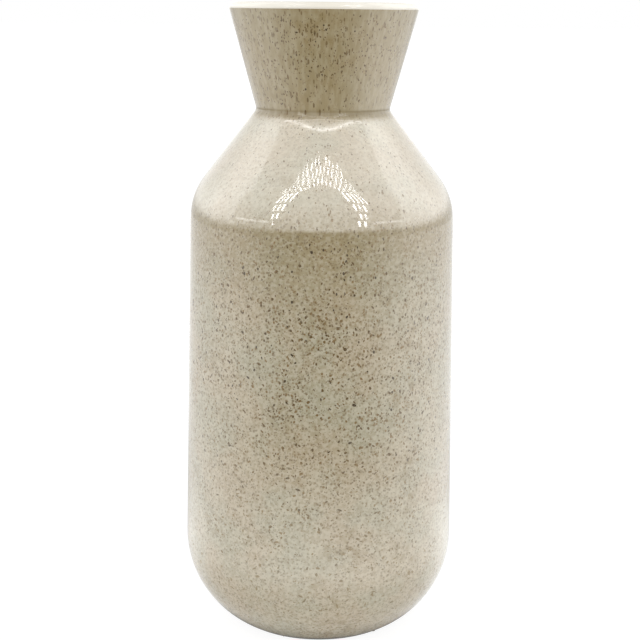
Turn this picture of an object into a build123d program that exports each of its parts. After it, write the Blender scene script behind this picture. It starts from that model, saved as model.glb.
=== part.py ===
from build123d import *
import os

# Bottle vase of glazed stoneware, standing on the table plane with its axis on Z.
# The clay is slip-cast in one piece; three coats of glaze are fired onto it.
# Every layer is cut from one half section, drawn in step by step, and turned about the axis.
# Sizes are in millimetres.

# Finished outside, given at its sharp corners before they are rounded
body_height = 178.5
shoulder_rise = 34.0
neck_height = 41.5
base_radius = 56.2
shoulder_radius = 52.8
waist_radius = 26.5
mouth_radius = 38.0

# Rounds of the outside
base_round = 41.0
shoulder_round = 27.0
waist_round = 4.4

# Layers of the wall
speckled_glaze_thickness = 0.5
clay_thickness = 4.6
liner_glaze_thickness = 0.4
base_glaze_thickness = 0.4

# Round of the lip as a share of the clay, a little under half so that a flat is left on top
lip_round_share = 0.41

# Foot: the base round is cut flat, then hollowed to leave a ring to stand on
foot_cut_depth = 4.2
foot_ring_width = 6.0
foot_edge_round = 0.7
recess_depth = 2.2
recess_draft = 1.2
floor_thickness = 5.0
floor_round = 10.0

# Where the coats stop, and the round of the outer coat's lower edge as a share of its thickness
dry_foot_height = 1.2
dry_recess_margin = 1.0
lip_band_height = 2.6
coat_edge_share = 2.0

# How far the section is drawn past the axis and past the cuts
overrun = 20.0

# Sizes that follow
waist_height = body_height + shoulder_rise
vase_height = waist_height + neck_height
clay_face_depth = speckled_glaze_thickness
clay_mid_depth = clay_face_depth + clay_thickness / 2
clay_back_depth = clay_face_depth + clay_thickness
liner_back_depth = clay_back_depth + liner_glaze_thickness
clay_top = vase_height - liner_glaze_thickness
clay_floor = recess_depth + floor_thickness
liner_floor = clay_floor + liner_glaze_thickness
lip_round = lip_round_share * clay_thickness
lip_band_bottom = vase_height - lip_band_height
section_reach = base_radius + overrun


def nearest_corner(region, radius, height):
    """Corner of a region that lies nearest to a point of the section."""
    return region.vertices().sort_by_distance((radius, height))[0]


def slab(low, high, reach=section_reach):
    """Part of the half plane between two heights, from the axis outwards."""
    return Pos(0, low) * Rectangle(reach, high - low, align=(Align.MIN, Align.MIN))


def turned(region):
    """Solid that a region of the half section sweeps about the axis."""
    return revolve(Plane.XZ * region, Axis.Z)


def section(depth=0):
    """Half section at a depth below the finished outside, longer than the vase at the foot and the mouth.

    Going inwards, the base and shoulder rounds get tighter and the hollow round of the waist gets wider.
    """
    neck_flare = (mouth_radius - waist_radius) / neck_height
    top = vase_height + overrun
    corners = [
        (-overrun, -foot_cut_depth),
        (base_radius, -foot_cut_depth),
        (shoulder_radius, body_height),
        (waist_radius, waist_height),
        (mouth_radius + neck_flare * overrun, top),
        (-overrun, top),
    ]
    region = make_face(Polyline(corners, close=True))
    if depth > 0:
        region = offset(region, -depth, kind=Kind.INTERSECTION)
    rounds = [base_round - depth, shoulder_round - depth, waist_round + depth]
    for (radius, height), corner_round in zip(corners[1:4], rounds):
        region = fillet(nearest_corner(region, radius, height), corner_round)
    return region


def hollow(depth, floor):
    """Inside of the vase at a depth below the outside, above a floor with a rounded edge."""
    space = section(depth) & slab(floor, vase_height + overrun)
    edge = space.vertices().sort_by(Axis.Y)[:2].sort_by(Axis.X)[-1]
    return fillet(edge, floor_round)


def rounded_lip(region):
    """Region with both corners of its top edge rounded."""
    return fillet(region.vertices().sort_by(Axis.Y)[-2:], lip_round)


def foot_recess(clay_section):
    """Hollow under the base, inside the foot ring, with a drafted wall."""
    foot_face = clay_section & slab(0, recess_depth)
    foot_radius = foot_face.vertices().sort_by(Axis.Y)[:2].sort_by(Axis.X)[-1].X
    rim = foot_radius - foot_ring_width
    ceiling = rim - recess_draft
    corners = [(0, 0), (rim, 0), (ceiling, recess_depth), (0, recess_depth)]
    return make_face(Polyline(corners, close=True)), ceiling


outside = section()
clay_section = section(clay_face_depth)
recess, recess_ceiling_radius = foot_recess(clay_section)

# Clay shell with its lip and its foot ring
clay_wall = clay_section & slab(0, clay_top)
clay_wall = rounded_lip(clay_wall - hollow(clay_back_depth, clay_floor))
clay_wall = clay_wall - recess
clay_wall = fillet(clay_wall.vertices().sort_by(Axis.Y)[:2], foot_edge_round)

# Coats outside, over the lip and inside, in one ring round the clay
wall = outside & slab(dry_foot_height, vase_height)
wall = rounded_lip(wall - hollow(liner_back_depth, liner_floor))
coats = wall - clay_wall - recess

# The speckled coat ends at the lip band, and the liner has the rest
outer_side = outside - section(clay_mid_depth)
speckled_coat = coats & outer_side & slab(dry_foot_height, lip_band_bottom)
liner_coat = coats - speckled_coat
coat_edge = speckled_coat.vertices().sort_by(Axis.Y)[:2].sort_by(Axis.X)[-1]
speckled_coat = fillet(coat_edge, coat_edge_share * speckled_glaze_thickness)

# Coat on the ceiling of the recess
base_coat_radius = recess_ceiling_radius - dry_recess_margin
base_coat = slab(recess_depth - base_glaze_thickness, recess_depth, base_coat_radius)

pieces = {
    "stoneware_body": clay_wall,
    "speckled_glaze": speckled_coat,
    "liner_glaze": liner_coat,
    "base_glaze": base_coat,
}
os.makedirs("parts", exist_ok=True)
for name, region in pieces.items():
    export_step(turned(region), f"parts/{name}.step")
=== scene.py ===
import math

import bmesh
import bpy
from mathutils import Matrix, Vector
from mathutils.geometry import intersect_line_line


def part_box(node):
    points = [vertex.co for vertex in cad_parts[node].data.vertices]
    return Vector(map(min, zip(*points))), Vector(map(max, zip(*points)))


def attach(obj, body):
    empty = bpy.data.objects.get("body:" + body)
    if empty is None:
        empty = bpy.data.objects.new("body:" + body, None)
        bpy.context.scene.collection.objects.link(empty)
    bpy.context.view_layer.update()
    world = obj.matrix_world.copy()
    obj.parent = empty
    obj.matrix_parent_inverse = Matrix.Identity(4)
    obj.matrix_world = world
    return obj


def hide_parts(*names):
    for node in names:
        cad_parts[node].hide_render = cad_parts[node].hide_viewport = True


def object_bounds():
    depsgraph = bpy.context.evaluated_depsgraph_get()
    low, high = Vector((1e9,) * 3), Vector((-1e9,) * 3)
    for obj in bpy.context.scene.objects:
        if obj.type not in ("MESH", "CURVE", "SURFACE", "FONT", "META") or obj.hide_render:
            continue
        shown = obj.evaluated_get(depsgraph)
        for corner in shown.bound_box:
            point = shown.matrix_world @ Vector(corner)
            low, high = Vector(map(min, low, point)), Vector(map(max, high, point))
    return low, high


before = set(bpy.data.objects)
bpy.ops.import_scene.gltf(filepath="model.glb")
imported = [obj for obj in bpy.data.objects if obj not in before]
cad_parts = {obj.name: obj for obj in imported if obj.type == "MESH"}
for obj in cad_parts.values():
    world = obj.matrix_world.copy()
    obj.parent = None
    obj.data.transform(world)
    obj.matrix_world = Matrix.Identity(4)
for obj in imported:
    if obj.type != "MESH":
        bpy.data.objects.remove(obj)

# Bottle vase of speckled stoneware, with its axis on Z and its foot on the floor plane.
# Every layer is turned from a half outline, and iron flecks are scattered over the outer coat. Sizes are in
# metres.

cad_low, cad_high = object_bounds()

# The outside, at its sharp corners before they are rounded
base_radius = 0.0562
shoulder_radius = 0.0528
waist_radius = 0.0265
mouth_radius = 0.0380
body_height = 0.1785
waist_height = 0.2125
vase_height = cad_high.z
foot_cut_depth = 0.0042

# Rounds of the outside, with the crease of the waist tighter than in the solids
base_round = 0.0410
shoulder_round = 0.0270
waist_round = 0.0024
lip_round = 0.0019

# Depths of the layers below the outside
outer_coat = 0.0005
clay_back = 0.0051
liner_face = 0.0055

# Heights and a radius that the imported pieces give
coat_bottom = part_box("speckled_glaze")[0].z
coat_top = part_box("speckled_glaze")[1].z
clay_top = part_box("stoneware_body")[1].z
clay_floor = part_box("liner_glaze")[0].z
base_coat_low, base_coat_high = (corner.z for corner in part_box("base_glaze"))
base_coat_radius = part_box("base_glaze")[1].x
liner_floor = clay_floor + liner_face - clay_back

# Floor of the inside, recess under the foot, and edges of the foot ring and the coats
floor_round = 0.0100
recess_ceiling = base_coat_high
dry_recess_margin = 0.0010
recess_radius = base_coat_radius + dry_recess_margin
recess_draft = 0.0012
foot_edge_round = 0.0007
coat_edge_round = 0.0004
base_coat_edge = 0.0002

# Points at the foot of an outline that a round there takes up
coat_edge_points = 3
floor_round_points = 5
foot_edge_points = 3

# How finely the pieces are turned
steps_round = 256
run_step = 0.0022
arc_step = 0.0010
hidden_step = 0.006
smallest_arc_count = 5

# Hand-finished unevenness of the wall, inwards from the true outline and fading out at the axis
wall_margin = 0.00006
wall_wave_depth = 0.00001
wall_wave_length = 0.060
wall_wave_cut = (0.25, 0.75)
axis_fade = 20.0

# Share of a piece's map that the side that shows takes, and the closing of seams
seen_map_share = 0.97
weld_distance = 1e-6
sharp_angle = math.radians(50)

# Glaze and clay colours
glaze_green_grey = (0.505, 0.467, 0.340, 1)
glaze_pink_beige = (0.548, 0.464, 0.328, 1)
glaze_cream = (0.60, 0.535, 0.39, 1)
glaze_straw = (0.362, 0.287, 0.150, 1)
glaze_pale = (0.70, 0.64, 0.50, 1)
stain_olive = (0.30, 0.225, 0.10, 1)
# Painted shade: a near-black brown, partly glaze pooled in the crease of the waist, mostly the shade under
# the neck and the shadow at the foot
pooled_glaze_and_shade = (0.11, 0.078, 0.038, 1)
speck_black = (0.060, 0.040, 0.018, 1)
speck_brown = (0.14, 0.090, 0.034, 1)
speck_rust = (0.26, 0.175, 0.075, 1)
liner_cream = (0.95, 0.905, 0.80, 1)
liner_warm = (0.93, 0.875, 0.75, 1)
clay_buff = (0.46, 0.38, 0.29, 1)
clay_brown = (0.38, 0.30, 0.21, 1)
clay_dark = (0.20, 0.15, 0.10, 1)

# Heights on the body where its flecks and specks change in number and colour
low_body_height = 0.020
mid_body_height = 0.095
high_body_height = 0.125
pale_foot_zone = (0.015, 0.110)

# Iron flecks of the outer coat: number, size, lie, ragged edges and map
flecks_per_area = 210000.0
fleck_half_length = 0.0010
fleck_size_spread = (0.5, 1.25)
fleck_size_power = 1.6
fleck_size_above = 0.70
fleck_width_shares = (0.4, 0.8)
fleck_height = 0.00002
fleck_sides = 6
upright_sway = math.radians(25)
ragged_length = 0.0005
ragged_depth = 0.0004
fleck_map_cells = 160
fleck_map_reach = 0.35
fleck_seed = 7

# Clumps of flecks: length, levels of noise where they start and are full, and share of flecks there
fleck_clump_length = 0.016
fleck_clump_cut = (0.3, 0.7)
fleck_clump_shares = (0.3, 1.7)

# Shares of the flecks up the vase
fleck_share_foot = 0.50
fleck_share_under_shoulder = 0.85
fleck_share_shoulder = 0.42
fleck_share_low_neck = 0.95
fleck_share_high_neck = 1.80

# Where size and shares change, measured up from the turn of the shoulder, and then from the waist
fleck_size_zone = (-0.014, -0.005)
fleck_shoulder_zone = (-0.006, 0.003)
fleck_waist_zone = (-0.001, 0.002)
fleck_neck_zone = (0.008, 0.024)

# Bare gaps, from the crease of the waist and from the top of the coat: where flecks start and where all lie
fleck_waist_gap = (0.0014, 0.0024)
fleck_lip_gap = (-0.0019, -0.0030)

# Colour and gloss of the flecks
fleck_brown_chance = (0.0, 0.25)
fleck_rust_chance = (0.35, 0.8)
fleck_rust_above = 0.25
fleck_mottle = (0.0007, 0.4, 0.7)
fleck_mottle_levels = (0.0, 0.3)
fleck_straw_foot = 0.55
fleck_smears = (0.0006, 0.3, 0.7)
fleck_roughness = (0.18, 0.35)

# Zones of the speckled glaze: where each starts and where it is full, measured up from the waist,
# then from the turn of the shoulder and from the coat's lower edge
neck_zone = (-0.0050, -0.0012)
# Painted shade under the neck, in the crease of the waist, partly pooled glaze
waist_shade_zone = (-0.0027, 0.0002)
waist_corner_zone = (-0.0032, -0.0010)
waist_upper_zone = (0.0016, 0.0006)
shoulder_zone = (-0.008, 0.003)
# Painted contact shadow along the foot, laid on as glaze that pools and breaks dark at its edge
foot_shadow_zone = (0.0032, 0.0010)

# Patterns of the speckled glaze: length, and levels of noise where they start and are full
clouds = (0.020, 0.36, 0.64)
cream_clouds = (0.010, 0.45, 0.70)
streaks = (0.0022, 0.50, 0.72)
close_flecks = (fleck_clump_length, 0.50, 0.72)
stains = (0.0045, 0.45, 0.65)
vein_breaks = (0.0030, 0.48, 0.60)
speck_patches = (0.012, 0.35, 0.65)
rust_clouds = (0.006, 0.45, 0.60)
smears = (0.030, 0.3, 0.7)
grain_length = 0.0014
neck_grain_length = 0.0016
mottle_cut = (0.34, 0.66)
mottle_levels = (-0.5, 0.5)
vein_length = 0.0026
vein_width = 0.03
ripple_length = 0.004

# Specks: spacing, size as a share of it, and share that is kept, then their smallest size and dark core
fine_speck_dots = (0.0010, 0.46, 0.75)
round_speck_dots = (0.00125, 0.54, 0.78)
long_speck_dots = (0.0011, 0.47, 0.76)
liner_speck_dots = (0.0045, 0.09, 0.35)
grog_dots = (0.0014, 0.3, 0.3)
smallest_dot = 0.45
dot_core = 0.6

# Patterns are drawn out downwards, or shifted so that they don't lie over each other
speck_draw = (1.0, 1.0, 0.26)
streak_draw = (1.0, 1.0, 0.15)
cream_shift = (0.5, 0.2, 0.7)
vein_shift = (0.3, 0.9, 0.1)
fine_speck_shift = (0.7, 0.4, 0.6)

# How strongly the patterns of the speckled glaze show
cream_strength = 0.5
shoulder_cream = 0.15
shoulder_calm = 0.45
neck_straw = 0.8
under_shoulder_straw = 0.75
streak_strength = 0.35
dull_strength = 0.55
pale_strength = 0.55
neck_pale_strength = 0.25
stain_strength = 0.50
# Painted shade in the waist and painted shadow at the foot, laid on as dark pooled glaze: its share in the
# waist and its strength
waist_shade_share = 0.28
painted_shade_strength = 0.9
squiggle_strength = 0.45
fine_speck_strength = 0.42
speck_patch_levels = (0.45, 1.0)
foot_speck_share = 0.60
speck_strength = 0.75
neck_speck_strength = 0.90
neck_rust = 0.4

# Gloss of the speckled glaze, with the strength and depth of its bump
glaze_ior = 1.6
smear_roughness = (0.03, 0.05)
speck_roughness = 0.15
speck_rise = 0.5
specular_level = 0.5
corner_specular_level = 0.15
glaze_bump = (0.5, 0.00001)

# Liner glaze
liner_ior = 1.45
liner_clouds = (0.020, 0.35, 0.65)
liner_speck_strength = 0.5
liner_smears = (0.025, 0.3, 0.7)
liner_roughness = (0.12, 0.20)
liner_bump = (0.10, 0.0002)

# Bare clay
clay_ior = 1.45
clay_clouds = (0.010, 0.35, 0.65)
clay_grit = (0.0005, 0.35, 0.65)
grit_strength = 0.35
grog_strength = 0.7
clay_roughness = (0.78, 0.95)
clay_bump = (0.5, 0.0002)

# Studio
white = (1.0, 1.0, 1.0, 1)
floor_width = 40.0
floor_glow_near = 0.92
floor_fade = (0.15, 1.2)
floor_shadow_colour = (0.18, 0.18, 0.18, 1)
floor_bounce_colour = (0.89, 0.89, 0.89, 1)
ambient_levels = (1.00, 0.78)

# Light tent, which only reflections show: its glow in front, at the left, at the right and behind
tent_radius = 1.5
tent_segments = 64
tent_centre_height = 0.175
tent_edge = (math.radians(-4), math.radians(5))
tent_glow_high = (3.75, 4.2, 4.7, 1.4)
tent_glow_low = (0.05, 1.5, 1.9, 0.95)
side_power = 1.5

# Table in the tent: its glow on the same four sides, and its shade round the foot of the vase
table_glow_near = (3.05, 2.5, 3.0, 0.3)
table_glow_far = (0.05, 2.0, 2.6, 1.15)
table_rise = 0.0001
table_fade = (0.10, 0.40)
table_shade_glow = 0.34
table_shade_fade = (0.032, 0.150)
contact_shade_glow = 0.25
contact_shade_fade = (0.035, 0.048)

# White panels at both sides: distance across, foot, lean and softness of the front edge, and glow
panels = (
    (-0.50, -0.158, 0.19, 0.008, 5.5),
    (0.50, -0.278, 0.34, 0.013, 6.1),
)
panel_height = 1.2
panel_depth = 1.6
panel_rise = (0.12, 0.28)
panel_fade = 0.52

# Low bright strips at both sides, from end to end
strips = (
    (Vector((-0.269, -0.286, 0.2435)), Vector((-0.452, -0.118, 0.2435))),
    (Vector((0.251, -0.285, 0.2435)), Vector((0.432, -0.164, 0.2435))),
)
strip_width = 0.020
strip_glow = 7.0

# Thin bowed lamp over the mouth
bow_height = 0.34
bow_front = -0.0783
bow_curve = 4.4
bow_half_width = 0.114
bow_strip = 0.0016
bow_steps = 48
bow_glow = 11.0

# Arched frame of small lamps in front of the vase: the outline of the arch, and its rows of lamps
lamp_plane = -0.13
lamp_arch = (
    (-0.100, 0.190), (-0.106, 0.250), (-0.112, 0.326), (-0.168, 0.492), (-0.076, 0.453), (0.000, 0.437),
    (0.128, 0.465), (0.148, 0.452), (0.119, 0.314), (0.100, 0.246), (0.088, 0.190),
    (0.064, 0.190), (0.068, 0.250), (0.059, 0.311), (0.049, 0.377), (0.027, 0.408),
    (-0.050, 0.413), (-0.065, 0.356), (-0.080, 0.258), (-0.084, 0.190),
)
leg_rows = ((0.189, 0.205), (0.212, 0.232), (0.243, 0.278), (0.292, 0.398))
bar_row_low = 0.412
bar_row_pitch = 0.0110
bar_rows = 8
lamp_pitch = 0.0133
lamp_width = 0.0052
lamp_fill = 0.62
lamp_glow = 20.0

# The lamps are set back along their lines from the spots on the shoulder that mirror them: how far, and
# those spots' places: across, as a share of the lamp's, and in depth and height, with the rise of each
lamp_set_back = 2.3
mirror_share = 0.2
mirror_narrowing = 0.45
mirror_low = (-0.0465, 0.1766)
mirror_rise = (0.028, 0.066)

# Camera
camera_place = Vector((-0.00025, -0.5619, 0.2514))
camera_pitch = math.radians(12.53)
camera_roll = math.radians(0.64)
camera_lens = 78.75
camera_sensor = 36.0


def rounded(corners):
    """Points of an outline given as (radius, height, round) corners, with an arc at each rounded one."""
    points = []
    for index, (radius, height, corner_round) in enumerate(corners):
        here = Vector((radius, height))
        if corner_round == 0 or index in (0, len(corners) - 1):
            points.append(here)
            continue
        before = (Vector(corners[index - 1][:2]) - here).normalized()
        after = (Vector(corners[index + 1][:2]) - here).normalized()
        half_angle = before.angle(after) / 2
        centre = here + (before + after).normalized() * corner_round / math.sin(half_angle)
        reach = corner_round / math.tan(half_angle)
        start = here + before * reach - centre
        turn = start.angle_signed(here + after * reach - centre)
        count = max(smallest_arc_count, round(corner_round * abs(turn) / arc_step))
        for step in range(count + 1):
            points.append(centre + Matrix.Rotation(-turn * step / count, 2) @ start)
    return points


def divided(points, longest):
    """The same outline with its long straight runs divided."""
    dense = [points[0]]
    for start, end in zip(points, points[1:]):
        count = max(1, math.ceil((end - start).length / longest))
        dense += [start.lerp(end, step / count) for step in range(1, count + 1)]
    return dense


def between(points, low, high):
    """The part of a rising outline between two heights, cut exactly there."""
    kept = []
    for start, end in zip(points, points[1:]):
        if end.y <= low or start.y >= high:
            continue
        if start.y < low:
            start = start.lerp(end, (low - start.y) / (end.y - start.y))
        if end.y > high:
            end = start.lerp(end, (high - start.y) / (end.y - start.y))
        kept += [start, end] if not kept else [end]
    return kept


def side(depth):
    """Rising outline of the wall at a depth below the outside, from under the foot to over the mouth."""
    flare = (mouth_radius - waist_radius) / (vase_height - waist_height)
    over = vase_height + base_round
    sharp = [
        Vector((0, -foot_cut_depth, 0)),
        Vector((base_radius, -foot_cut_depth, 0)),
        Vector((shoulder_radius, body_height, 0)),
        Vector((waist_radius, waist_height, 0)),
        Vector((mouth_radius + flare * base_round, over, 0)),
    ]
    edges = []
    for start, end in zip(sharp, sharp[1:]):
        run = (end - start).normalized()
        inwards = Vector((-run.y, run.x, 0)) * depth
        edges.append((start + inwards, end + inwards))
    rounds = [base_round - depth, shoulder_round - depth, waist_round + depth]
    corners = [(*edges[0][0].xy, 0)]
    for first, second, corner_round in zip(edges, edges[1:], rounds):
        meet = intersect_line_line(*first, *second)[0]
        corners.append((meet.x, meet.y, corner_round))
    corners.append((*edges[-1][1].xy, 0))
    return rounded(corners)


def at_height(points, height):
    """Radius of a rising outline at a height."""
    return between(points, height, height + base_round)[0].x


def length_of(points):
    """Length of an outline."""
    return sum((end - start).length for start, end in zip(points, points[1:]))


def led_into(start, outline, corner_round, taken):
    """A run from a start point to the foot of a rising outline, rounded into it, then the outline."""
    corners = [(*start, 0), (*outline[0], corner_round), (*outline[taken], 0)]
    return rounded(corners) + outline[taken + 1:]


def lip(inner, outer, top):
    """Points over the lip of a layer, from its inner outline to its outer one."""
    mid_neck = (waist_height + vase_height) / 2
    return rounded([
        (at_height(inner, mid_neck), mid_neck, 0),
        (at_height(inner, top), top, lip_round),
        (at_height(outer, top), top, lip_round),
        (at_height(outer, mid_neck), mid_neck, 0),
    ])[1:-1]


def node(tree, kind, inputs=None, **settings):
    """Adds a node, with its settings, and feeds its inputs from sockets or plain values."""
    made = tree.nodes.new(kind)
    for name, value in settings.items():
        setattr(made, name, value)
    for key, value in (inputs or {}).items():
        if isinstance(value, bpy.types.NodeSocket):
            tree.links.new(value, made.inputs[key])
        else:
            made.inputs[key].default_value = value
    return made


def maths(tree, operation, *values, clamp=False):
    """A Math node's result."""
    inputs = dict(enumerate(values))
    return node(tree, "ShaderNodeMath", inputs, operation=operation, use_clamp=clamp).outputs[0]


def product(tree, first, *others):
    """Numbers multiplied together."""
    for other in others:
        first = maths(tree, "MULTIPLY", first, other)
    return first


def vector_maths(tree, operation, first, second, result="Vector"):
    """A Vector Math node's result. A scaling takes its number in the fourth socket."""
    inputs = {0: first, 3 if operation == "SCALE" else 1: second}
    return node(tree, "ShaderNodeVectorMath", inputs, operation=operation).outputs[result]


def axes_of(tree, place):
    """A vector's numbers along X, Y and Z."""
    return node(tree, "ShaderNodeSeparateXYZ", {0: place}).outputs


def vector_of(tree, x, y, z=0.0):
    """A vector of three numbers."""
    return node(tree, "ShaderNodeCombineXYZ", {"X": x, "Y": y, "Z": z}).outputs[0]


def ranged(tree, value, low, high, new_low=0.0, new_high=1.0, kind="SMOOTHSTEP"):
    """A value carried from one range to another, held at its ends."""
    inputs = {0: value, 1: low, 2: high, 3: new_low, 4: new_high}
    return node(tree, "ShaderNodeMapRange", inputs, interpolation_type=kind).outputs[0]


def past(tree, height, level, margins, new_low=0.0, new_high=1.0):
    """A value that changes while a height goes from the first margin of a level to the second."""
    return ranged(tree, height, level + margins[0], level + margins[1], new_low, new_high)


def blended(tree, share, first, second):
    """Two numbers mixed by a share."""
    return node(tree, "ShaderNodeMix", {0: share, 2: first, 3: second}, data_type="FLOAT").outputs[0]


def mixed(tree, share, first, second):
    """Two colours mixed by a share."""
    return node(tree, "ShaderNodeMix", {0: share, 6: first, 7: second}, data_type="RGBA").outputs[2]


def stained(tree, tone, colour, share, strength):
    """A tone with a colour laid over it, where a share says and as strongly as a strength says."""
    return mixed(tree, product(tree, share, strength), tone, colour)


def noise(tree, place, length, detail=2.0, roughness=0.5, result=0):
    """Noise whose lumps are about one length apart. The length is a number or a tree's input."""
    from_tree = isinstance(length, bpy.types.NodeSocket)
    scale = maths(tree, "DIVIDE", 1.0, length) if from_tree else 1 / length
    inputs = {"Vector": place, "Scale": scale, "Detail": detail, "Roughness": roughness}
    return node(tree, "ShaderNodeTexNoise", inputs).outputs[result]


def patches(tree, place, pattern, levels=(0.0, 1.0), **texture):
    """Patches of noise, given by their length and the levels of noise where they start and are full."""
    length, start, full = pattern
    return ranged(tree, noise(tree, place, length, **texture), start, full, *levels)


def dots(tree, place, spacing, size, share):
    """Small round spots at random places, of which only a share is kept, each of its own size."""
    inputs = {"Vector": place, "Scale": 1 / spacing, "Randomness": 1.0}
    cells = node(tree, "ShaderNodeTexVoronoi", inputs).outputs
    lots = node(tree, "ShaderNodeSeparateColor", {0: cells["Color"]}).outputs
    reach = product(tree, ranged(tree, lots[0], 0.0, 1.0, smallest_dot, 1.0, "LINEAR"), size)
    spot = ranged(tree, maths(tree, "DIVIDE", cells["Distance"], reach), 1.0, dot_core)
    return product(tree, spot, maths(tree, "LESS_THAN", lots[1], share))


def new_tree(name, sockets):
    """A Geometry Nodes tree with named inputs, its group input and its group output."""
    tree = bpy.data.node_groups.new(name, "GeometryNodeTree")
    tree.interface.new_socket("Geometry", in_out="INPUT", socket_type="NodeSocketGeometry")
    tree.interface.new_socket("Geometry", in_out="OUTPUT", socket_type="NodeSocketGeometry")
    for label, kind in sockets.items():
        tree.interface.new_socket(label, in_out="INPUT", socket_type="NodeSocket" + kind)
    return tree, node(tree, "NodeGroupInput").outputs, node(tree, "NodeGroupOutput")


def stored(tree, geometry, label, value, kind, domain):
    """Geometry with a value kept on it under a label."""
    inputs = {"Geometry": geometry, "Name": label, "Value": value}
    return node(tree, "GeometryNodeStoreNamedAttribute", inputs, data_type=kind, domain=domain).outputs[0]


def recalled(tree, label, kind):
    """A value that is kept under a label."""
    return node(tree, "GeometryNodeInputNamedAttribute", {"Name": label}, data_type=kind).outputs[0]


def realized(tree, geometry):
    """Geometry with its instances made real."""
    return node(tree, "GeometryNodeRealizeInstances", {0: geometry}).outputs[0]


def dress(tree, geometry, material, out):
    """Ends a tree by giving its geometry the material."""
    dressed = node(tree, "GeometryNodeSetMaterial", {"Geometry": geometry, "Material": material})
    tree.links.new(dressed.outputs[0], out.inputs[0])


def new_object(name, data):
    """An object in the scene."""
    made = bpy.data.objects.new(name, data)
    bpy.context.scene.collection.objects.link(made)
    return made


def grown(data, tree, values, name):
    """A plain mesh object that a Geometry Nodes tree makes of a curve or a mesh."""
    source = new_object(name + "_source", data)
    modifier = source.modifiers.new(tree.name, "NODES")
    modifier.node_group = tree
    for item in tree.interface.items_tree:
        if item.in_out == "INPUT" and item.name in values:
            modifier[item.identifier] = values[item.name]
    evaluated = source.evaluated_get(bpy.context.evaluated_depsgraph_get())
    mesh = bpy.data.meshes.new_from_object(evaluated)
    bpy.data.objects.remove(source)
    mesh.name = name
    piece = new_object(name, mesh)
    shell = bmesh.new()
    shell.from_mesh(mesh)
    bmesh.ops.recalc_face_normals(shell, faces=shell.faces)
    shell.to_mesh(mesh)
    shell.free()
    mesh.shade_smooth()
    mesh.set_sharp_from_angle(angle=sharp_angle)
    return piece


def turning_tree():
    """Turns a half outline about the axis, with the slight unevenness of a cast and glazed wall."""
    tree, given, out = new_tree("turned_wall", {
        "Steps round": "Int",
        "Seen share": "Float",
        "Wall wave depth": "Float",
        "Wall wave length": "Float",
        "Margin": "Float",
        "Even below": "Float",
        "Top": "Float",
        "Material": "Material",
    })
    outline = given["Geometry"]
    counted = node(tree, "GeometryNodeAttributeDomainSize", {0: outline}, component="CURVE")
    rows = counted.outputs["Point Count"]
    columns = maths(tree, "ADD", given["Steps round"], 1)
    grid = node(tree, "GeometryNodeMeshGrid", {
        "Size X": 1.0, "Size Y": 1.0, "Vertices X": columns, "Vertices Y": rows,
    }).outputs["Mesh"]

    # Each column of the grid is the outline again, at its own angle
    index = node(tree, "GeometryNodeInputIndex").outputs[0]
    row = maths(tree, "MODULO", index, rows)
    column = maths(tree, "FLOOR", maths(tree, "DIVIDE", maths(tree, "ADD", index, 0.5), rows))
    turn = maths(tree, "DIVIDE", column, given["Steps round"])
    angle = product(tree, turn, math.tau)
    cosine = maths(tree, "COSINE", angle)
    sine = maths(tree, "SINE", angle)

    def at_row(value, kind):
        inputs = {"Geometry": outline, 1: value, "Index": row}
        return node(tree, "GeometryNodeSampleIndex", inputs, data_type=kind, domain="POINT").outputs[0]

    def at_angle(reach, level):
        return vector_of(tree, product(tree, reach, cosine), product(tree, reach, sine), level)

    point = axes_of(tree, at_row(node(tree, "GeometryNodeInputPosition").outputs[0], "FLOAT_VECTOR"))
    radius, height = point["X"], point["Z"]

    # Unevenness goes inwards, and fades out at the axis
    lumps = noise(tree, at_angle(radius, height), given["Wall wave length"], detail=0.0)
    wall = product(tree, ranged(tree, lumps, *wall_wave_cut, kind="LINEAR"), given["Wall wave depth"])
    inwards = maths(tree, "ADD", wall, given["Margin"])
    fade = maths(tree, "DIVIDE", radius, product(tree, inwards, axis_fade))
    fade = maths(tree, "MINIMUM", fade, 1.0)
    held = maths(tree, "SUBTRACT", radius, product(tree, inwards, fade))
    rise = ranged(tree, height, given["Even below"], given["Top"])
    lowered = maths(tree, "SUBTRACT", height, product(tree, wall, rise))

    # The map gives nearly all its height to the side that shows
    share = at_row(node(tree, "GeometryNodeSplineParameter").outputs["Factor"], "FLOAT")
    seen = ranged(tree, share, 0.0, given["Seen share"], 0.0, seen_map_share, "LINEAR")
    hidden = ranged(tree, share, given["Seen share"], 1.0, 0.0, 1 - seen_map_share, "LINEAR")
    spread = vector_of(tree, turn, maths(tree, "ADD", seen, hidden))
    mapped = stored(tree, grid, "OFBake", spread, "FLOAT2", "CORNER")

    inputs = {"Geometry": mapped, "Position": at_angle(held, lowered)}
    turned = node(tree, "GeometryNodeSetPosition", inputs).outputs[0]
    inputs = {"Geometry": turned, "Distance": weld_distance}
    closed = node(tree, "GeometryNodeMergeByDistance", inputs).outputs[0]
    dress(tree, realized(tree, closed), given["Material"], out)
    return tree


def turned_piece(name, seen, hidden, material):
    """One layer of the vase, turned from its outline: the side that shows, then the hidden side."""
    points = seen + hidden
    curve = bpy.data.curves.new(name + "_outline", "CURVE")
    curve.dimensions = "3D"
    spline = curve.splines.new("POLY")
    spline.points.add(len(points) - 1)
    for target, point in zip(spline.points, points):
        target.co = (point.x, 0, point.y, 1)
    return grown(curve, turned_wall, {
        "Steps round": steps_round,
        "Seen share": length_of(seen) / length_of(points),
        "Wall wave depth": wall_wave_depth,
        "Wall wave length": wall_wave_length,
        "Margin": wall_margin,
        "Even below": waist_height,
        "Top": vase_height,
        "Material": material,
    }, name)


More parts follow.
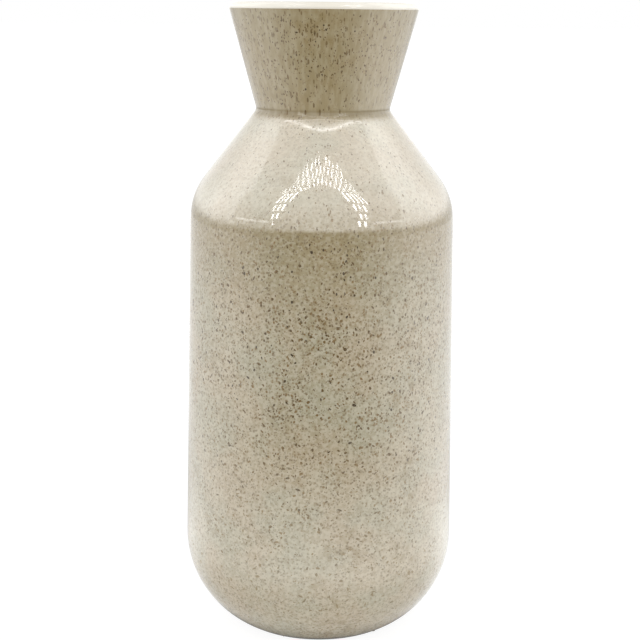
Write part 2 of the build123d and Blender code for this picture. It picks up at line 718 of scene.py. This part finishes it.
def fleck_tree():
    """Scatters iron flecks over the outside of the coat: low ragged scales that stand barely proud of it."""
    tree, given, out = new_tree("iron_flecks", {
        "Flecks per area": "Float",
        "Fleck half length": "Float",
        "Fleck height": "Float",
        "Clump length": "Float",
        "Shoulder bottom": "Float",
        "Waist": "Float",
        "Seed": "Int",
        "Material": "Material",
    })
    place = node(tree, "GeometryNodeInputPosition").outputs[0]
    normal = node(tree, "GeometryNodeInputNormal").outputs[0]
    height = axes_of(tree, place)["Z"]
    turn = given["Shoulder bottom"]
    from_turn = maths(tree, "SUBTRACT", height, turn)
    from_waist = maths(tree, "SUBTRACT", height, given["Waist"])
    outwards = vector_maths(tree, "MULTIPLY", place, (1.0, 1.0, 0.0))
    facing = vector_maths(tree, "DOT_PRODUCT", normal, outwards, "Value")

    # The high neck has most flecks, the foot and the shoulder fewest, and all of them come in clumps
    rising = ranged(tree, height, low_body_height, mid_body_height, fleck_share_foot, 1.0)
    thinning = ranged(tree, height, high_body_height, turn, 1.0, fleck_share_under_shoulder)
    over_turn = ranged(tree, from_turn, *fleck_shoulder_zone)
    over_waist = ranged(tree, from_waist, *fleck_waist_zone)
    up_neck = ranged(tree, from_waist, *fleck_neck_zone, fleck_share_low_neck, fleck_share_high_neck)
    zone = blended(tree, over_turn, product(tree, rising, thinning), fleck_share_shoulder)
    zone = blended(tree, over_waist, zone, up_neck)
    under_lip = past(tree, height, coat_top, fleck_lip_gap)
    off_waist = ranged(tree, maths(tree, "ABSOLUTE", from_waist), *fleck_waist_gap)
    clump = noise(tree, place, given["Clump length"])
    clumped = ranged(tree, clump, *fleck_clump_cut, *fleck_clump_shares, "LINEAR")
    scatter = node(tree, "GeometryNodeDistributePointsOnFaces", {
        "Mesh": given["Geometry"],
        "Selection": maths(tree, "GREATER_THAN", facing, 0.0),
        "Density": product(tree, zone, under_lip, off_waist, clumped, given["Flecks per area"]),
        "Seed": given["Seed"],
    }).outputs

    def chance(draw, low, high):
        inputs = {2: low, 3: high, "Seed": maths(tree, "ADD", given["Seed"], draw)}
        return node(tree, "FunctionNodeRandomValue", inputs, data_type="FLOAT").outputs[1]

    # Lengthwise up the wall on the neck, any way round low on the body
    align, upwards = "FunctionNodeAlignRotationToVector", (0.0, 0.0, 1.0)
    upright = node(tree, align, {"Vector": scatter["Normal"]}, axis="Z").outputs[0]
    inputs = {"Rotation": upright, "Vector": upwards}
    upright = node(tree, align, inputs, axis="X", pivot_axis="Z").outputs[0]
    sway = ranged(tree, height, low_body_height, turn, math.pi / 2, upright_sway)
    inputs = {"Axis": upwards, "Angle": product(tree, sway, chance(1, -1.0, 1.0))}
    twist = node(tree, "FunctionNodeAxisAngleToRotation", inputs).outputs[0]
    inputs = {"Rotation": upright, "Rotate By": twist}
    lie = node(tree, "FunctionNodeRotateRotation", inputs, rotation_space="LOCAL").outputs[0]

    # Each has its own size, and those above the body are smaller
    spread = maths(tree, "POWER", chance(2, *fleck_size_spread), fleck_size_power)
    smaller = ranged(tree, from_turn, *fleck_size_zone, 1.0, fleck_size_above)
    length = product(tree, given["Fleck half length"], spread, smaller)
    width = product(tree, length, chance(3, *fleck_width_shares))
    scale = vector_of(tree, length, width, given["Fleck height"])

    # A low cone, sunk into the wall by half its height
    chip = node(tree, "GeometryNodeMeshCone", {
        "Vertices": fleck_sides, "Radius Top": 0.0, "Radius Bottom": 1.0, "Depth": 2.0,
    }, fill_type="NGON").outputs["Mesh"]
    inputs = {"Geometry": chip, "Translation": (0.0, 0.0, -1.0)}
    chip = node(tree, "GeometryNodeTransform", inputs).outputs[0]
    chip = stored(tree, chip, "chip_spot", place, "FLOAT_VECTOR", "POINT")
    points = stored(tree, scatter["Points"], "fleck_up", scatter["Normal"], "FLOAT_VECTOR", "POINT")
    chips = node(tree, "GeometryNodeInstanceOnPoints", {
        "Points": points, "Instance": chip, "Rotation": lie, "Scale": scale,
    }).outputs[0]
    chips = stored(tree, chips, "fleck_tone", chance(4, 0.0, 1.0), "FLOAT", "INSTANCE")
    index = node(tree, "GeometryNodeInputIndex").outputs[0]
    chips = stored(tree, chips, "fleck_number", index, "FLOAT", "INSTANCE")

    # Ragged edges in the plane of the wall
    up = recalled(tree, "fleck_up", "FLOAT_VECTOR")
    jitter = noise(tree, place, ragged_length, detail=0.0, result=1)
    jitter = vector_maths(tree, "SUBTRACT", jitter, (0.5, 0.5, 0.5))
    shift = vector_maths(tree, "SCALE", jitter, ragged_depth)
    proud = vector_maths(tree, "SCALE", up, vector_maths(tree, "DOT_PRODUCT", shift, up, "Value"))
    inputs = {"Geometry": realized(tree, chips), "Offset": vector_maths(tree, "SUBTRACT", shift, proud)}
    ragged = node(tree, "GeometryNodeSetPosition", inputs).outputs[0]

    # A cell of the map for each fleck
    number = recalled(tree, "fleck_number", "FLOAT")
    row = maths(tree, "FLOOR", maths(tree, "DIVIDE", number, fleck_map_cells))
    cell = vector_of(tree, maths(tree, "MODULO", number, fleck_map_cells), row)
    inset = vector_maths(tree, "SCALE", recalled(tree, "chip_spot", "FLOAT_VECTOR"), fleck_map_reach)
    spot = vector_maths(tree, "ADD", vector_maths(tree, "ADD", cell, inset), (0.5, 0.5, 0.0))
    spot = vector_maths(tree, "SCALE", spot, 1 / fleck_map_cells)
    dress(tree, stored(tree, ragged, "OFBake", spot, "FLOAT2", "CORNER"), given["Material"], out)
    return tree


def own_place(tree):
    """An object's own coordinates."""
    return node(tree, "ShaderNodeTexCoord").outputs["Object"]


def new_material(name, ior):
    """A material, its node tree, its main shader and the object's own coordinates."""
    material = bpy.data.materials.new(name)
    material.use_nodes = True
    tree = material.node_tree
    shader = tree.nodes["Principled BSDF"]
    shader.inputs["IOR"].default_value = ior
    return material, tree, shader, own_place(tree)


def bumped(tree, height, strength, depth):
    """The normal of a surface with a bump."""
    inputs = {"Strength": strength, "Distance": depth, "Height": height}
    return node(tree, "ShaderNodeBump", inputs).outputs[0]


def feed(tree, shader, sockets):
    """Links sockets to a shader's inputs."""
    for label, socket in sockets.items():
        tree.links.new(socket, shader.inputs[label])


def speckled_material(name):
    """Glossy cream-grey glaze with soft colour clouds, brown specks and fine squiggles."""
    material, tree, shader, place = new_material(name, glaze_ior)
    height = axes_of(tree, place)["Z"]
    drawn = vector_maths(tree, "MULTIPLY", place, streak_draw)

    # Zones of the vase, the painted shade in the crease of the waist and the painted contact shadow at the
    # foot, both laid on as dark pooled glaze
    on_neck = past(tree, height, waist_height, neck_zone)
    over_turn = past(tree, height, body_height, shoulder_zone)
    on_shoulder = maths(tree, "SUBTRACT", over_turn, on_neck)
    under_turn = maths(tree, "SUBTRACT", ranged(tree, height, high_body_height, body_height), over_turn)
    over_corner = past(tree, height, waist_height, waist_upper_zone)
    waist_shade = maths(tree, "MINIMUM", past(tree, height, waist_height, waist_shade_zone), over_corner)
    in_corner = maths(tree, "MINIMUM", past(tree, height, waist_height, waist_corner_zone), over_corner)
    foot_shadow = past(tree, height, coat_bottom, foot_shadow_zone)
    painted_shade = maths(tree, "MAXIMUM", product(tree, waist_shade, waist_shade_share), foot_shadow)
    calm = maths(tree, "SUBTRACT", 1.0, product(tree, on_shoulder, shoulder_calm))

    # Soft clouds of colour
    cloud = patches(tree, place, clouds, detail=3.0)
    tone = mixed(tree, cloud, glaze_green_grey, glaze_pink_beige)
    cream = patches(tree, vector_maths(tree, "ADD", place, cream_shift), cream_clouds, detail=3.0)
    tone = stained(tree, tone, glaze_cream, cream, cream_strength)
    tone = stained(tree, tone, glaze_straw, on_neck, neck_straw)
    tone = stained(tree, tone, glaze_cream, on_shoulder, shoulder_cream)
    tone = stained(tree, tone, glaze_straw, maths(tree, "MAXIMUM", under_turn, 0.0), under_shoulder_straw)

    # Faint long streaks where the glaze has run
    streak = patches(tree, drawn, streaks, detail=3.0)
    tone = stained(tree, tone, stain_olive, streak, product(tree, on_neck, streak_strength))

    # Light and dark mottle, rusty stains where flecks lie close together, and the painted shade of the waist
    # and the foot
    grain = blended(tree, on_neck, noise(tree, place, grain_length), noise(tree, drawn, neck_grain_length))
    mottle = ranged(tree, grain, *mottle_cut, *mottle_levels)
    dull = product(tree, maths(tree, "MAXIMUM", mottle, 0.0), calm)
    tone = stained(tree, tone, stain_olive, dull, dull_strength)
    paling = blended(tree, on_neck, -pale_strength, -neck_pale_strength)
    tone = stained(tree, tone, glaze_pale, maths(tree, "MINIMUM", mottle, 0.0), paling)
    stain = product(tree, patches(tree, place, close_flecks), patches(tree, place, stains), calm)
    tone = stained(tree, tone, stain_olive, stain, stain_strength)
    tone = stained(tree, tone, pooled_glaze_and_shade, painted_shade, painted_shade_strength)

    # Fine broken squiggles that join the specks
    vein = noise(tree, vector_maths(tree, "ADD", place, vein_shift), vein_length, detail=1.0)
    off_vein = maths(tree, "ABSOLUTE", maths(tree, "SUBTRACT", vein, 0.5))
    line = ranged(tree, off_vein, vein_width, 0.0)
    broken = patches(tree, place, vein_breaks, detail=1.0)
    tone = stained(tree, tone, speck_rust, product(tree, line, broken, calm), squiggle_strength)

    # Fine faint specks all over the body
    fine = dots(tree, vector_maths(tree, "ADD", place, fine_speck_shift), *fine_speck_dots)
    fine = product(tree, maths(tree, "SUBTRACT", calm, on_neck), fine)
    tone = stained(tree, tone, speck_brown, maths(tree, "MAXIMUM", fine, 0.0), fine_speck_strength)

    # Brown specks under the skin, drawn out downwards on the neck
    round_specks = dots(tree, place, *round_speck_dots)
    long_specks = dots(tree, vector_maths(tree, "MULTIPLY", place, speck_draw), *long_speck_dots)
    specks = product(tree, blended(tree, on_neck, round_specks, long_specks), calm)
    up_body = ranged(tree, height, *pale_foot_zone, foot_speck_share, 1.0)
    patch = product(tree, patches(tree, place, speck_patches, speck_patch_levels), up_body)
    specks = product(tree, specks, patch)
    rust = patches(tree, place, rust_clouds, detail=1.0)
    rust = product(tree, rust, blended(tree, on_neck, 1.0, neck_rust))
    brown = mixed(tree, rust, speck_brown, speck_rust)
    strength = blended(tree, on_neck, speck_strength, neck_speck_strength)

    # Glassy skin, a little duller over the specks and with less shine in the corner of the waist
    rough = patches(tree, place, smears, smear_roughness, detail=3.0)
    ripple = noise(tree, place, ripple_length, detail=0.0)
    skin = maths(tree, "ADD", ripple, product(tree, specks, speck_rise))
    feed(tree, shader, {
        "Base Color": stained(tree, tone, brown, specks, strength),
        "Roughness": maths(tree, "ADD", rough, product(tree, specks, speck_roughness)),
        "Specular IOR Level": blended(tree, in_corner, specular_level, corner_specular_level),
        "Normal": bumped(tree, skin, *glaze_bump),
    })
    return material


def fleck_material(name):
    """Iron that has bled up through the glaze: dark brown to rust, half melted in near the foot."""
    material, tree, shader, place = new_material(name, glaze_ior)
    height = axes_of(tree, place)["Z"]
    chance = node(tree, "ShaderNodeAttribute", attribute_name="fleck_tone").outputs["Fac"]
    tone = mixed(tree, ranged(tree, chance, *fleck_brown_chance), speck_black, speck_brown)
    rust = past(tree, height, body_height, fleck_shoulder_zone, 1.0, fleck_rust_above)
    tone = stained(tree, tone, speck_rust, rust, ranged(tree, chance, *fleck_rust_chance))
    tone = mixed(tree, patches(tree, place, fleck_mottle, fleck_mottle_levels), tone, speck_black)
    melted = ranged(tree, height, *pale_foot_zone[::-1], 0.0, fleck_straw_foot)
    feed(tree, shader, {
        "Base Color": mixed(tree, melted, tone, glaze_straw),
        "Roughness": patches(tree, place, fleck_smears, fleck_roughness),
    })
    return material


def liner_material(name):
    """Clean glossy cream glaze with soft warmer clouds and a few faint specks."""
    material, tree, shader, place = new_material(name, liner_ior)
    tone = mixed(tree, patches(tree, place, liner_clouds, detail=3.0), liner_cream, liner_warm)
    specks = dots(tree, place, *liner_speck_dots)
    ripple = noise(tree, place, ripple_length, detail=1.0)
    feed(tree, shader, {
        "Base Color": stained(tree, tone, speck_rust, specks, liner_speck_strength),
        "Roughness": patches(tree, place, liner_smears, liner_roughness, detail=3.0),
        "Normal": bumped(tree, ripple, *liner_bump),
    })
    return material


def stoneware_material(name):
    """Dry fired clay of the foot: buff and gritty, with dark grains of grog."""
    material, tree, shader, place = new_material(name, clay_ior)
    tone = mixed(tree, patches(tree, place, clay_clouds, detail=4.0), clay_buff, clay_brown)
    grit = patches(tree, place, clay_grit, detail=3.0, roughness=0.7)
    tone = stained(tree, tone, clay_dark, grit, grit_strength)
    grog = dots(tree, place, *grog_dots)
    feed(tree, shader, {
        "Base Color": stained(tree, tone, speck_brown, grog, grog_strength),
        "Roughness": ranged(tree, grit, 0.0, 1.0, *clay_roughness),
        "Normal": bumped(tree, grit, *clay_bump),
    })
    return material


# The layers, each from its closed outline, the side that shows first
outside, clay_face = side(0), side(outer_coat)
clay_inside, inside = side(clay_back), side(liner_face)
glaze = speckled_material("speckled_glaze")
turned_wall = turning_tree()

coat_outer = between(outside, coat_bottom, coat_top)
coat_inner = between(clay_face, coat_bottom, coat_top)
coat_seen = divided(led_into(coat_inner[0], coat_outer, coat_edge_round, coat_edge_points), run_step)
speckled_coat = turned_piece("speckled_coat", coat_seen, divided(coat_inner[::-1], hidden_step), glaze)

liner_rise = between(inside, liner_floor, coat_top)
clay_rise = between(clay_inside, clay_floor, coat_top)
liner_wall = led_into((0, liner_floor), liner_rise, floor_round, floor_round_points)
clay_wall = led_into((0, clay_floor), clay_rise, floor_round, floor_round_points)
liner_seen = divided(liner_wall + lip(inside, outside, vase_height) + [coat_outer[-1]], run_step)
clay_lip = lip(clay_inside, clay_face, clay_top)
over_clay = [point for point in clay_lip[::-1] if point.y > coat_top]
liner_hidden = divided([coat_inner[-1]] + over_clay + clay_wall[::-1], hidden_step)
liner = turned_piece("liner_coat", liner_seen, liner_hidden, liner_material("liner_glaze"))

clay_outer = between(clay_face, 0, coat_top)
foot_seen = divided(rounded([
    (0, recess_ceiling, 0),
    (recess_radius, recess_ceiling, foot_edge_round),
    (recess_radius + recess_draft, 0, foot_edge_round),
    (*clay_outer[0], foot_edge_round),
    (*clay_outer[foot_edge_points], 0),
]), run_step)
clay_hidden = divided(clay_outer[foot_edge_points + 1:] + over_clay + clay_wall[::-1], hidden_step)
clay = turned_piece("clay_shell", foot_seen, clay_hidden, stoneware_material("stoneware"))

base_coat_seen = divided(rounded([
    (0, base_coat_low, 0),
    (base_coat_radius, base_coat_low, base_coat_edge),
    (base_coat_radius, base_coat_high, 0),
]), run_step)
base_coat = turned_piece("base_coat", base_coat_seen, [Vector((0, base_coat_high))], glaze)

flecks = grown(speckled_coat.data, fleck_tree(), {
    "Flecks per area": flecks_per_area,
    "Fleck half length": fleck_half_length,
    "Fleck height": fleck_height,
    "Clump length": fleck_clump_length,
    "Shoulder bottom": body_height,
    "Waist": waist_height,
    "Seed": fleck_seed,
    "Material": fleck_material("iron_flecks"),
}, "iron_flecks")

for piece, replaced, slot in (
    (speckled_coat, "speckled_glaze", "speckled_glaze"),
    (liner, "liner_glaze", "liner_glaze"),
    (clay, "stoneware_body", "stoneware"),
    (base_coat, "base_glaze", "base_glaze"),
    (flecks, None, "speckled_glaze"),
):
    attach(piece, "root")
    if replaced:
        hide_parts(replaced)


def blank_material(name):
    """A material and its node tree, which is empty."""
    material = bpy.data.materials.new(name)
    material.use_nodes = True
    material.node_tree.nodes.clear()
    return material, material.node_tree


def background_rays(tree):
    """1 for the rays that see the white background: the camera's, and those of reflections and glass."""
    rays = node(tree, "ShaderNodeLightPath").outputs
    seen = maths(tree, "ADD", rays["Is Camera Ray"], rays["Is Glossy Ray"])
    return maths(tree, "ADD", seen, rays["Is Transmission Ray"], clamp=True)


def floor_material():
    """Pale floor that looks white and keeps a soft shadow."""
    material, tree = blank_material("floor")
    away = node(tree, "ShaderNodeVectorMath", {0: own_place(tree)}, operation="LENGTH").outputs["Value"]
    glow = ranged(tree, away, *floor_fade, floor_glow_near, 1.0)
    lit = node(tree, "ShaderNodeBsdfDiffuse", {"Color": floor_shadow_colour}).outputs[0]
    shine = node(tree, "ShaderNodeEmission", {"Color": white, "Strength": glow}).outputs[0]
    seen = node(tree, "ShaderNodeAddShader", {0: lit, 1: shine}).outputs[0]
    plain = node(tree, "ShaderNodeBsdfDiffuse", {"Color": floor_bounce_colour}).outputs[0]
    surface = node(tree, "ShaderNodeMixShader", {0: background_rays(tree), 1: plain, 2: seen}).outputs[0]
    node(tree, "ShaderNodeOutputMaterial", {"Surface": surface})
    return material


def add_floor():
    """A wide floor in the plane of the foot."""
    bpy.ops.mesh.primitive_plane_add(size=floor_width)
    floor = bpy.context.object
    floor.name = "floor"
    floor.data.materials.append(floor_material())


def add_world():
    """White behind everything, and a dim even light on the object."""
    world = bpy.data.worlds.new("studio")
    bpy.context.scene.world = world
    world.use_nodes = True
    tree = world.node_tree
    tree.nodes.clear()
    axes = axes_of(tree, node(tree, "ShaderNodeTexCoord").outputs["Generated"])
    ambient = ranged(tree, axes["Z"], 0.0, 1.0, *ambient_levels, "LINEAR")
    level = blended(tree, background_rays(tree), ambient, 1.0)
    sky = node(tree, "ShaderNodeBackground", {"Color": white, "Strength": level}).outputs[0]
    node(tree, "ShaderNodeOutputWorld", {"Surface": sky})


def for_reflections(stage_piece, glow, share=None):
    """Makes a piece of the studio shine in reflections alone.

    Its glow is a number or a function of its tree. The share that isn't see-through is a function too.
    """
    material, tree = blank_material(stage_piece.name)
    material.cycles.emission_sampling = "NONE"
    level = glow(tree) if callable(glow) else glow
    shine = node(tree, "ShaderNodeEmission", {"Color": white, "Strength": level}).outputs[0]
    if share:
        clear = node(tree, "ShaderNodeBsdfTransparent").outputs[0]
        shine = node(tree, "ShaderNodeMixShader", {0: share(tree), 1: clear, 2: shine}).outputs[0]
    node(tree, "ShaderNodeOutputMaterial", {"Surface": shine})
    stage_piece.data.materials.append(material)
    for rays in ("camera", "diffuse", "shadow", "transmission", "volume_scatter"):
        setattr(stage_piece, "visible_" + rays, False)


def around(tree, axes, levels):
    """A level that changes smoothly round the vase, and the distance from its axis.

    The level is given in front, at the left, at the right and behind.
    """
    front, left, right, back = levels
    across, along = maths(tree, "POWER", axes["X"], 2.0), maths(tree, "POWER", axes["Y"], 2.0)
    out = maths(tree, "ADD", across, along)
    reach = maths(tree, "SQRT", out)
    sideways = maths(tree, "POWER", maths(tree, "DIVIDE", across, out), side_power)
    ends = ranged(tree, maths(tree, "DIVIDE", axes["Y"], reach), -1.0, 1.0, front, back)
    sides = ranged(tree, maths(tree, "DIVIDE", axes["X"], reach), -1.0, 1.0, left, right)
    return blended(tree, sideways, ends, sides), reach


def tent_glow(tree):
    """The tent's glow above its lower edge, and the room's below it."""
    axes = axes_of(tree, own_place(tree))
    above = ranged(tree, axes["Z"], *(tent_radius * math.sin(angle) for angle in tent_edge))
    low, high = around(tree, axes, tent_glow_low)[0], around(tree, axes, tent_glow_high)[0]
    return blended(tree, above, low, high)


def table_glow(tree):
    """The table's glow near the vase, the room's farther out, and the shade round the foot."""
    axes = axes_of(tree, own_place(tree))
    near, reach = around(tree, axes, table_glow_near)
    far = around(tree, axes, table_glow_far)[0]
    glow = blended(tree, ranged(tree, reach, *table_fade), near, far)
    shade = ranged(tree, reach, *table_shade_fade, table_shade_glow, 1.0)
    contact = ranged(tree, reach, *contact_shade_fade, contact_shade_glow, 1.0)
    return product(tree, glow, product(tree, shade, contact))


def from_shell(name, shell):
    """An object in the scene, made of a shell of faces."""
    mesh = bpy.data.meshes.new(name)
    shell.to_mesh(mesh)
    shell.free()
    return new_object(name, mesh)


def add_tent():
    """A white tent over the vase, and the table under it."""
    shell = bmesh.new()
    bmesh.ops.create_uvsphere(shell, u_segments=tent_segments, v_segments=tent_segments, radius=tent_radius)
    bmesh.ops.bisect_plane(shell, geom=shell.verts[:] + shell.edges[:] + shell.faces[:],
                           plane_co=(0, 0, -tent_centre_height), plane_no=(0, 0, -1), clear_outer=True)
    tent = from_shell("tent", shell)
    tent.location.z = tent_centre_height
    for_reflections(tent, tent_glow)
    bpy.ops.mesh.primitive_plane_add(size=2 * tent_radius, location=(0, 0, table_rise))
    table = bpy.context.object
    table.name = "table"
    for_reflections(table, table_glow)


def sheets(name, quads, glow, share=None):
    """Flat pieces of the studio, each given by its four corners."""
    shell = bmesh.new()
    for corners in quads:
        shell.faces.new([shell.verts.new(corner) for corner in corners])
    for_reflections(from_shell(name, shell), glow, share)


def panel_share(tree, foot, lean, softness):
    """The share of a panel that isn't see-through: soft at its foot and front edge, fading out behind."""
    axes = axes_of(tree, own_place(tree))
    edge = maths(tree, "ADD", product(tree, axes["Z"], lean), foot)
    inside_edge = maths(tree, "SUBTRACT", axes["Y"], edge)
    front = ranged(tree, inside_edge, 0.0, softness)
    behind = ranged(tree, inside_edge, softness + panel_fade, softness)
    rise = ranged(tree, axes["Z"], *panel_rise)
    return product(tree, rise, product(tree, front, behind))


def add_panels():
    """A white panel at each side, with a soft front edge, fading out behind the vase."""
    for label, (across, foot, lean, softness, glow) in zip(("left_panel", "right_panel"), panels):
        corners = [
            (across, foot, 0),
            (across, panel_depth, 0),
            (across, panel_depth, panel_height),
            (across, foot + lean * panel_height, panel_height),
        ]
        sheets(label, [corners], glow, lambda tree: panel_share(tree, foot, lean, softness))


def add_strips():
    """A low bright strip at each side."""
    up = Vector((0, 0, strip_width / 2))
    sheets("strips", [(start - up, end - up, end + up, start + up) for start, end in strips], strip_glow)


def add_bow():
    """A thin bowed lamp over the mouth."""
    def point(across, behind):
        return Vector((across, bow_front + bow_curve * across ** 2 + behind, bow_height))

    stops = [bow_half_width * (2 * step / bow_steps - 1) for step in range(bow_steps + 1)]
    quads = [
        (point(start, 0), point(end, 0), point(end, bow_strip), point(start, bow_strip))
        for start, end in zip(stops, stops[1:])
    ]
    sheets("bowed_lamp", quads, bow_glow)


def in_arch(across, height):
    """Whether a point of the lamps' plane lies inside the outline of the arch."""
    crossings = 0
    for (x0, z0), (x1, z1) in zip(lamp_arch, lamp_arch[1:] + lamp_arch[:1]):
        if (z0 > height) != (z1 > height):
            crossings += across < x0 + (x1 - x0) * (height - z0) / (z1 - z0)
    return crossings % 2 == 1


def set_back(across, height):
    """Where a point of the arch stands once it is set back from the shoulder that mirrors it."""
    rise = height - lamp_arch[0][1]
    share = mirror_share - rise * mirror_narrowing
    depth = mirror_low[0] + rise * mirror_rise[0]
    level = mirror_low[1] + rise * mirror_rise[1]
    mirror = Vector((across * share, depth, level))
    return mirror.lerp(Vector((across, lamp_plane, height)), lamp_set_back)


def add_lamps():
    """Rows of small upright lamps in an arch, with every other row set half a step on."""
    bars = [bar_row_low + step * bar_row_pitch for step in range(bar_rows)]
    rows = list(leg_rows) + [(bar, bar + lamp_fill * bar_row_pitch) for bar in bars]
    reach = max(abs(across) for across, _ in lamp_arch)
    count = math.ceil(reach / lamp_pitch)
    quads = []
    for row, (low, high) in enumerate(rows):
        for step in range(-count, count + 1):
            across = (step + (row % 2) / 2) * lamp_pitch
            if in_arch(across, (low + high) / 2):
                start, end = across - lamp_width / 2, across + lamp_width / 2
                corners = ((start, low), (end, low), (end, high), (start, high))
                quads.append([set_back(*corner) for corner in corners])
    sheets("lamps", quads, lamp_glow)


def add_camera():
    """The camera at the photograph's place: in front, level with the mouth, looking a little down."""
    data = bpy.data.cameras.new("camera")
    data.lens = camera_lens
    data.sensor_width = camera_sensor
    camera = new_object("camera", data)
    tilt = Matrix.Rotation(math.radians(90) - camera_pitch, 4, "X")
    camera.matrix_world = Matrix.Translation(camera_place) @ tilt @ Matrix.Rotation(camera_roll, 4, "Z")
    bpy.context.scene.camera = camera


add_floor()
add_world()
add_tent()
add_panels()
add_strips()
add_bow()
add_lamps()
add_camera()
bpy.context.scene.view_settings.view_transform = "Standard"
